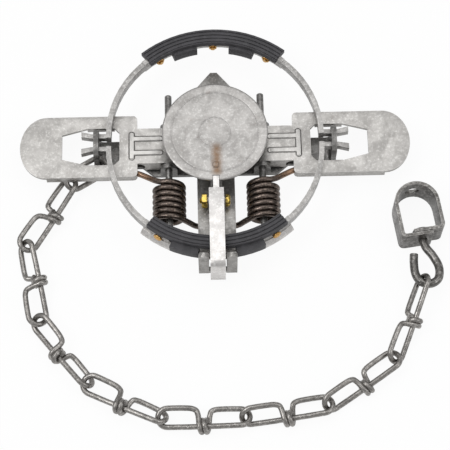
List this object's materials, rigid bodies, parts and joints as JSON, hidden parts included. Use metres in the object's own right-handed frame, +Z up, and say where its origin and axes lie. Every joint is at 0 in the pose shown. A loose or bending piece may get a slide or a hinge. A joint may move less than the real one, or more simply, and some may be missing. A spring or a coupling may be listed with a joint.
{
  "type": "foothold trap",
  "caption": "Set coil-spring foothold trap with rubber-faced jaws, round pan, dog, spring levers, and a twisted-wire link chain ending in a box swivel.",
  "frame": {"origin": "on the floor, under the middle of the base strip, at the mount base_underside", "axes": "+Z up, the shortest extent; +X towards the right lever; -Y towards the dog and the middle of the chain"},
  "size_m": [0.2514, 0.2479, 0.0347],
  "materials": {
    "worn_steel": "worn and mottled, light grey",
    "bright_steel": "clean rolled steel",
    "dark_steel": "dyed and oxidised, dark grey",
    "spring_steel": "oil-blackened spring wire with a copper glint",
    "chain_steel": "bare wire, medium grey",
    "brass": "yellow plated",
    "bronze": "gold-brown plated",
    "rubber": "matt moulded rubber"
  },
  "bodies": {
    "frame": {"base_strip": "dark_steel", "cross_strip": "dark_steel", "rivet_right": "dark_steel", "rivet_left": "dark_steel", "spring_pin_right": "dark_steel", "spring_pin_left": "dark_steel", "spring_right": "spring_steel", "spring_left": "spring_steel", "pan_bolt": "brass", "pan_nut": "brass"},
    "right_lever": {"lever_right": "worn_steel"},
    "left_lever": {"lever_left": "worn_steel"},
    "front_jaw": {"jaw_front": "worn_steel", "rubber_front": "rubber", "front_pad_bolt_left": "bronze", "front_pad_bolt_middle": "bronze", "front_pad_bolt_right": "bronze", "front_pad_nut_left": "bronze", "front_pad_nut_middle": "bronze", "front_pad_nut_right": "bronze"},
    "back_jaw": {"jaw_back": "worn_steel", "rubber_back": "rubber", "back_pad_bolt_left": "bronze", "back_pad_bolt_middle": "bronze", "back_pad_bolt_right": "bronze", "back_pad_nut_left": "bronze", "back_pad_nut_middle": "bronze", "back_pad_nut_right": "bronze"},
    "pan_body": {"pan": "worn_steel", "pan_shank": "dark_steel", "pan_rivet": "worn_steel"},
    "dog_body": {"dog": "bright_steel"},
    "connector_link_body": {"connector_link": "chain_steel"},
    "chain_link_1_body": {"chain_link_1": "chain_steel"},
    "chain_link_2_body": {"chain_link_2": "chain_steel"},
    "chain_link_3_body": {"chain_link_3": "chain_steel"},
    "chain_link_4_body": {"chain_link_4": "chain_steel"},
    "chain_link_5_body": {"chain_link_5": "chain_steel"},
    "chain_link_6_body": {"chain_link_6": "chain_steel"},
    "chain_link_7_body": {"chain_link_7": "chain_steel"},
    "chain_link_8_body": {"chain_link_8": "chain_steel"},
    "swivel_hook_body": {"swivel_hook": "chain_steel"},
    "swivel_box_body": {"swivel_box": "chain_steel"}
  },
  "joints": [
    {"name": "front_jaw_hinge", "type": "hinge", "parent": "frame", "child": "front_jaw", "pos_m": [0, -0.0042, 0.0187], "axis": [-1, 0, 0], "range_deg": [0, 25]},
    {"name": "back_jaw_hinge", "type": "hinge", "parent": "frame", "child": "back_jaw", "pos_m": [0, 0.0042, 0.0187], "axis": [1, 0, 0], "range_deg": [0, 25]},
    {"name": "dog_hinge", "type": "hinge", "parent": "frame", "child": "dog_body", "pos_m": [0, -0.0782, 0.0095], "axis": [1, 0, 0], "range_deg": [0, 100]},
    {"name": "right_lever_hinge", "type": "hinge", "parent": "frame", "child": "right_lever", "pos_m": [0.028, 0, 0.0106], "axis": [0, -1, 0], "range_deg": [0, 5.5], "deforming": ["spring_right"]},
    {"name": "left_lever_hinge", "type": "hinge", "parent": "frame", "child": "left_lever", "pos_m": [-0.028, 0, 0.0106], "axis": [0, 1, 0], "range_deg": [0, 5.5], "deforming": ["spring_left"]},
    {"name": "pan_hinge", "type": "hinge", "parent": "frame", "child": "pan_body", "pos_m": [0, -0.036, 0.0134], "axis": [1, 0, 0], "range_deg": [-7, 0]},
    {"name": "connector_swing", "type": "hinge", "parent": "frame", "child": "connector_link_body", "pos_m": [-0.071, -0.0098, 0.007], "axis": [0, 0, 1], "range_deg": [-2, 0]},
    {"name": "link_1_swing", "type": "hinge", "parent": "connector_link_body", "child": "chain_link_1_body", "pos_m": [-0.0873, -0.0189, 0.0051], "axis": [0, 0, 1], "range_deg": [-6, 0]},
    {"name": "link_2_swing", "type": "hinge", "parent": "chain_link_1_body", "child": "chain_link_2_body", "pos_m": [-0.11316, -0.05887, 0.0056], "axis": [0, 0, 1], "range_deg": [-8, 0]},
    {"name": "link_3_swing", "type": "hinge", "parent": "chain_link_2_body", "child": "chain_link_3_body", "pos_m": [-0.10497, -0.10576, 0.0056], "axis": [0, 0, 1], "range_deg": [-8, 0]},
    {"name": "link_4_swing", "type": "hinge", "parent": "chain_link_3_body", "child": "chain_link_4_body", "pos_m": [-0.07619, -0.14367, 0.0056], "axis": [0, 0, 1], "range_deg": [-8, 0]},
    {"name": "link_5_swing", "type": "hinge", "parent": "chain_link_4_body", "child": "chain_link_5_body", "pos_m": [-0.03386, -0.16543, 0.0056], "axis": [0, 0, 1], "range_deg": [-8, 0]},
    {"name": "link_6_swing", "type": "hinge", "parent": "chain_link_5_body", "child": "chain_link_6_body", "pos_m": [0.01374, -0.16601, 0.0056], "axis": [0, 0, 1], "range_deg": [-8, 0]},
    {"name": "link_7_swing", "type": "hinge", "parent": "chain_link_6_body", "child": "chain_link_7_body", "pos_m": [0.06092, -0.15972, 0.0056], "axis": [0, 0, 1], "range_deg": [-8, 0.5]},
    {"name": "link_8_swing", "type": "hinge", "parent": "chain_link_7_body", "child": "chain_link_8_body", "pos_m": [0.10029, -0.13296, 0.0056], "axis": [0, 0, 1], "range_deg": [-8, 8]},
    {"name": "hook_swing", "type": "hinge", "parent": "chain_link_8_body", "child": "swivel_hook_body", "pos_m": [0.11897, -0.08918, 0.0095], "axis": [0, 0, 1], "range_deg": [-8, 8]},
    {"name": "box_swivel", "type": "hinge", "parent": "swivel_hook_body", "child": "swivel_box_body", "pos_m": [0.12103, -0.06262, 0.0095], "axis": [-0.1392, 0.9903, 0], "continuous": true}
  ],
  "couplings": [
    {"joint": "back_jaw_hinge", "follows": "front_jaw_hinge", "ratio": 1},
    {"joint": "dog_hinge", "follows": "front_jaw_hinge", "ratio": 4},
    {"joint": "right_lever_hinge", "follows": "front_jaw_hinge", "ratio": 0.22},
    {"joint": "left_lever_hinge", "follows": "front_jaw_hinge", "ratio": 0.22}
  ]
}
